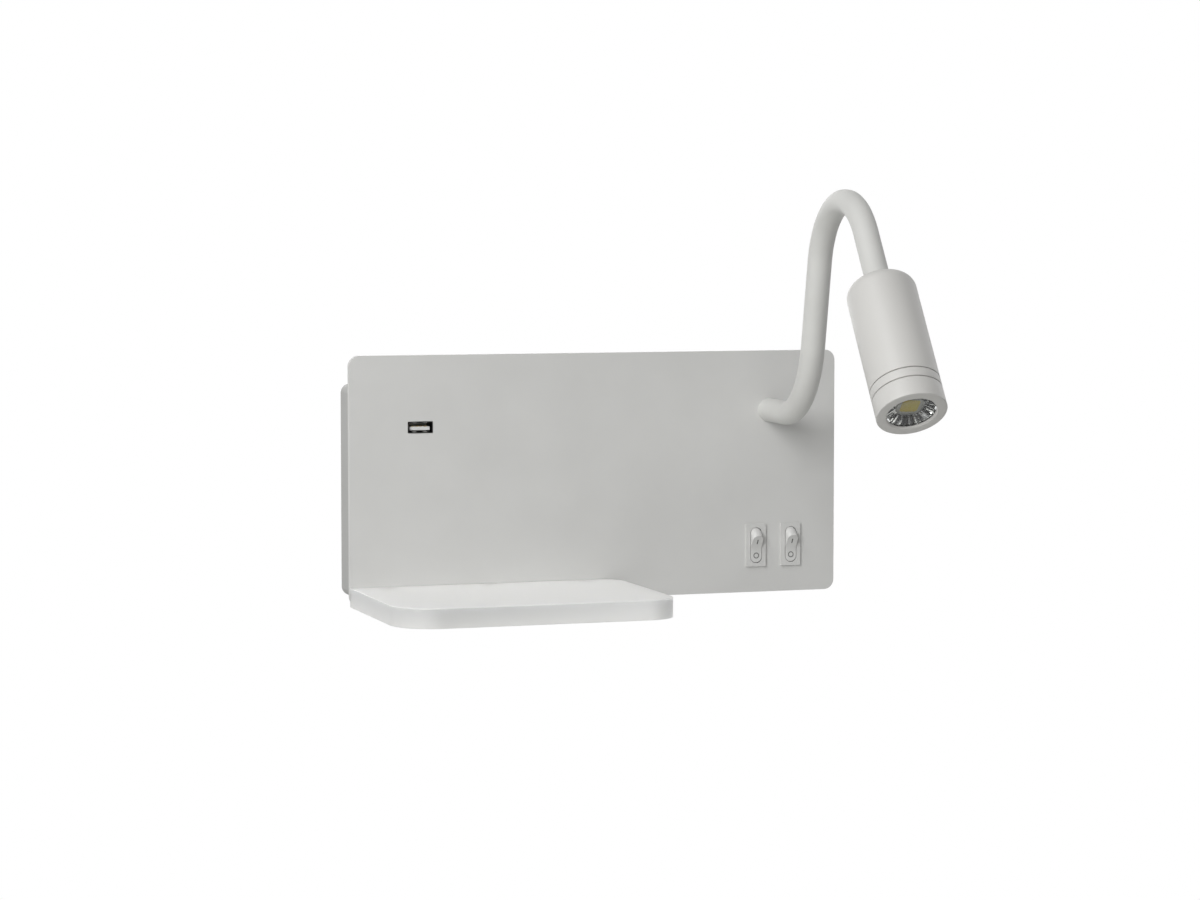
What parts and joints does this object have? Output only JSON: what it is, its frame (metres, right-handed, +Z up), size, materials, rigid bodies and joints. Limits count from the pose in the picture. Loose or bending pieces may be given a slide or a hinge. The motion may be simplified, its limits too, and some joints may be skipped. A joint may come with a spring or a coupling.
{
  "type": "wall lamp with shelf",
  "caption": "Wall lamp: flat plate over a shallow housing, flexible reading arm with a cylindrical spot head, frosted shelf, USB socket and rocker switches.",
  "frame": {"origin": "on the wall plane, behind the middle of the front plate", "axes": "+Y into the wall, +X to the viewer's right, +Z up"},
  "size_m": [0.27, 0.2704, 0.2147],
  "materials": {
    "satin_paint": "light grey satin coating",
    "housing_paint": "mid grey satin coating",
    "zinc_sheet": "zinc-plated sheet steel",
    "zinc_screws": "zinc-plated steel",
    "black_rubber": "matt black rubber",
    "ivory_plastic": "moulded ivory plastic",
    "brass": "turned brass",
    "frosted_acrylic": "frosted opal acrylic",
    "opal_plastic": "extruded opal plastic",
    "strip_board": "white circuit strip with yellow lamps",
    "white_plastic": "moulded white plastic",
    "dark_shell": "nickel-plated sheet, dark in the mouth",
    "gold_contact": "gold-plated contact",
    "circuit_board": "green solder mask",
    "grey_plastic": "moulded grey plastic",
    "switch_plastic": "satin light grey plastic",
    "rocker_plastic": "satin light grey plastic",
    "arm_skin": "matt off-white skin over a flexible steel tube",
    "lead_sheath": "white cable sheath",
    "clear_glass": "clear polished",
    "reflector_metal": "vacuum-metallised",
    "lamp_phosphor": "yellow phosphor",
    "aluminium": "machined aluminium"
  },
  "bodies": {
    "lamp": {"back_plate": "zinc_sheet", "cable_grommet": "black_rubber", "terminal_block": "ivory_plastic", "terminal_screws": "zinc_screws", "earth_screw": "brass", "rear_housing": "housing_paint", "housing_screws": "zinc_screws", "front_plate": "satin_paint", "plate_studs": "zinc_screws", "plate_nuts": "zinc_screws", "shelf": "frosted_acrylic", "shelf_inserts": "brass", "shelf_screws": "zinc_screws", "led_strip": "strip_board", "light_diffuser": "opal_plastic", "led_driver": "white_plastic", "driver_screws": "zinc_screws", "usb_shell": "dark_shell", "usb_tongue": "white_plastic", "usb_contacts": "gold_contact", "usb_board": "circuit_board", "usb_carrier": "grey_plastic", "reading_switch_body": "switch_plastic", "backlight_switch_body": "switch_plastic", "switch_terminals": "brass", "arm_root": "arm_skin", "gland_washer": "zinc_screws", "gland_nut": "brass", "arm_lead": "lead_sheath"},
    "reading_rocker": {"reading_rocker": "rocker_plastic"},
    "backlight_rocker": {"backlight_rocker": "rocker_plastic"},
    "arm_link_01": {"arm_link_01": "arm_skin"},
    "arm_link_02": {"arm_link_02": "arm_skin"},
    "arm_link_03": {"arm_link_03": "arm_skin"},
    "arm_link_04": {"arm_link_04": "arm_skin"},
    "arm_link_05": {"arm_link_05": "arm_skin"},
    "arm_link_06": {"arm_link_06": "arm_skin"},
    "arm_link_07": {"arm_link_07": "arm_skin"},
    "arm_link_08": {"arm_link_08": "arm_skin"},
    "arm_link_09": {"arm_link_09": "arm_skin"},
    "arm_link_10": {"arm_link_10": "arm_skin"},
    "arm_link_11": {"arm_link_11": "arm_skin"},
    "arm_link_12": {"arm_link_12": "arm_skin"},
    "arm_link_13": {"arm_link_13": "arm_skin"},
    "arm_link_14": {"arm_link_14": "arm_skin"},
    "arm_link_15": {"arm_link_15": "arm_skin"},
    "arm_link_16": {"arm_link_16": "arm_skin"},
    "arm_link_17": {"arm_link_17": "arm_skin"},
    "arm_link_18": {"arm_link_18": "arm_skin"},
    "head": {"head_neck": "arm_skin", "neck_nut": "brass", "head_body": "satin_paint", "head_band": "satin_paint", "head_bezel": "satin_paint", "head_lens": "clear_glass", "lens_gasket": "black_rubber", "reflector": "reflector_metal", "cob_led": "lamp_phosphor", "cob_board": "white_plastic", "heat_sink": "aluminium"}
  },
  "joints": [
    {"name": "arm_swing", "type": "hinge", "parent": "lamp", "child": "arm_link_01", "pos_m": [0.097, -0.046, 0.033], "axis": [0, 0, -1], "range_deg": [-25, 25], "deforming": ["arm_lead"]},
    {"name": "arm_swing_2", "type": "hinge", "parent": "arm_link_01", "child": "arm_link_02", "pos_m": [0.09611, -0.05943, 0.033], "axis": [0, 0, -1], "range_deg": [-25, 25], "deforming": ["arm_lead"]},
    {"name": "arm_lift", "type": "hinge", "parent": "arm_link_02", "child": "arm_link_03", "pos_m": [0.09522, -0.07281, 0.03375], "axis": [-0.9978, 0.0663, 0], "range_deg": [-14, 8], "deforming": ["arm_lead"]},
    {"name": "arm_lift_2", "type": "hinge", "parent": "arm_link_03", "child": "arm_link_04", "pos_m": [0.09438, -0.0855, 0.038], "axis": [-0.9978, 0.0663, 0], "range_deg": [-14, 8], "deforming": ["arm_lead"]},
    {"name": "arm_lift_3", "type": "hinge", "parent": "arm_link_04", "child": "arm_link_05", "pos_m": [0.09365, -0.09648, 0.04566], "axis": [-0.9978, 0.0663, 0], "range_deg": [-14, 8], "deforming": ["arm_lead"]},
    {"name": "arm_lift_4", "type": "hinge", "parent": "arm_link_05", "child": "arm_link_06", "pos_m": [0.09309, -0.10486, 0.05613], "axis": [-0.9978, 0.0663, 0], "range_deg": [-14, 8], "deforming": ["arm_lead"]},
    {"name": "arm_lift_5", "type": "hinge", "parent": "arm_link_06", "child": "arm_link_07", "pos_m": [0.09275, -0.10994, 0.06853], "axis": [-0.9978, 0.0663, 0], "range_deg": [-14, 8], "deforming": ["arm_lead"]},
    {"name": "arm_lean", "type": "hinge", "parent": "arm_link_07", "child": "arm_link_08", "pos_m": [0.09255, -0.11297, 0.08164], "axis": [0.0646, 0.9722, 0.225], "range_deg": [-12, 12], "deforming": ["arm_lead"]},
    {"name": "arm_lean_2", "type": "hinge", "parent": "arm_link_08", "child": "arm_link_09", "pos_m": [0.09235, -0.11599, 0.09475], "axis": [0.0646, 0.9722, 0.225], "range_deg": [-12, 12], "deforming": ["arm_lead"]},
    {"name": "arm_lean_3", "type": "hinge", "parent": "arm_link_09", "child": "arm_link_10", "pos_m": [0.09215, -0.11901, 0.10786], "axis": [0.0646, 0.9722, 0.225], "range_deg": [-12, 12], "deforming": ["arm_lead"]},
    {"name": "arm_arch", "type": "hinge", "parent": "arm_link_10", "child": "arm_link_11", "pos_m": [0.09189, -0.12287, 0.12072], "axis": [0.9978, -0.0663, 0], "range_deg": [-15, 5], "deforming": ["arm_lead"]},
    {"name": "arm_arch_2", "type": "hinge", "parent": "arm_link_11", "child": "arm_link_12", "pos_m": [0.09139, -0.13047, 0.13173], "axis": [0.9978, -0.0663, 0], "range_deg": [-15, 5], "deforming": ["arm_lead"]},
    {"name": "arm_arch_3", "type": "hinge", "parent": "arm_link_12", "child": "arm_link_13", "pos_m": [0.09067, -0.14128, 0.13961], "axis": [0.9978, -0.0663, 0], "range_deg": [-15, 5], "deforming": ["arm_lead"]},
    {"name": "arm_arch_4", "type": "hinge", "parent": "arm_link_13", "child": "arm_link_14", "pos_m": [0.08982, -0.15407, 0.14348], "axis": [0.9978, -0.0663, 0], "range_deg": [-15, 5], "deforming": ["arm_lead"]},
    {"name": "arm_arch_5", "type": "hinge", "parent": "arm_link_14", "child": "arm_link_15", "pos_m": [0.08894, -0.16742, 0.14289], "axis": [0.9978, -0.0663, 0], "range_deg": [-15, 5], "deforming": ["arm_lead"]},
    {"name": "arm_arch_6", "type": "hinge", "parent": "arm_link_15", "child": "arm_link_16", "pos_m": [0.08811, -0.17983, 0.13792], "axis": [0.9978, -0.0663, 0], "range_deg": [-15, 5], "deforming": ["arm_lead"]},
    {"name": "arm_arch_7", "type": "hinge", "parent": "arm_link_16", "child": "arm_link_17", "pos_m": [0.08744, -0.18991, 0.12913], "axis": [0.9978, -0.0663, 0], "range_deg": [-15, 5], "deforming": ["arm_lead"]},
    {"name": "head_tilt", "type": "hinge", "parent": "arm_link_17", "child": "arm_link_18", "pos_m": [0.08689, -0.19819, 0.11853], "axis": [0.9978, -0.0663, 0], "range_deg": [-30, 30], "deforming": ["arm_lead"]},
    {"name": "head_turn", "type": "hinge", "parent": "arm_link_18", "child": "head", "pos_m": [0.08634, -0.20645, 0.10793], "axis": [0.0522, 0.7863, -0.6157], "range_deg": [-25, 25], "deforming": ["arm_lead"]},
    {"name": "reading_rocker_press", "type": "hinge", "parent": "lamp", "child": "reading_rocker", "pos_m": [0.0895, -0.0348, -0.0397], "axis": [-1, 0, 0], "range_deg": [0, 32]},
    {"name": "backlight_rocker_press", "type": "hinge", "parent": "lamp", "child": "backlight_rocker", "pos_m": [0.1095, -0.0348, -0.0397], "axis": [-1, 0, 0], "range_deg": [0, 32]}
  ],
  "couplings": [
    {"joint": "arm_swing_2", "follows": "arm_swing", "ratio": 1},
    {"joint": "arm_lift_2", "follows": "arm_lift", "ratio": 1},
    {"joint": "arm_lift_3", "follows": "arm_lift", "ratio": 1},
    {"joint": "arm_lift_4", "follows": "arm_lift", "ratio": 1},
    {"joint": "arm_lift_5", "follows": "arm_lift", "ratio": 1},
    {"joint": "arm_lean_2", "follows": "arm_lean", "ratio": 1},
    {"joint": "arm_lean_3", "follows": "arm_lean", "ratio": 1},
    {"joint": "arm_arch_2", "follows": "arm_arch", "ratio": 1},
    {"joint": "arm_arch_3", "follows": "arm_arch", "ratio": 1},
    {"joint": "arm_arch_4", "follows": "arm_arch", "ratio": 1},
    {"joint": "arm_arch_5", "follows": "arm_arch", "ratio": 1},
    {"joint": "arm_arch_6", "follows": "arm_arch", "ratio": 1},
    {"joint": "arm_arch_7", "follows": "arm_arch", "ratio": 1}
  ]
}
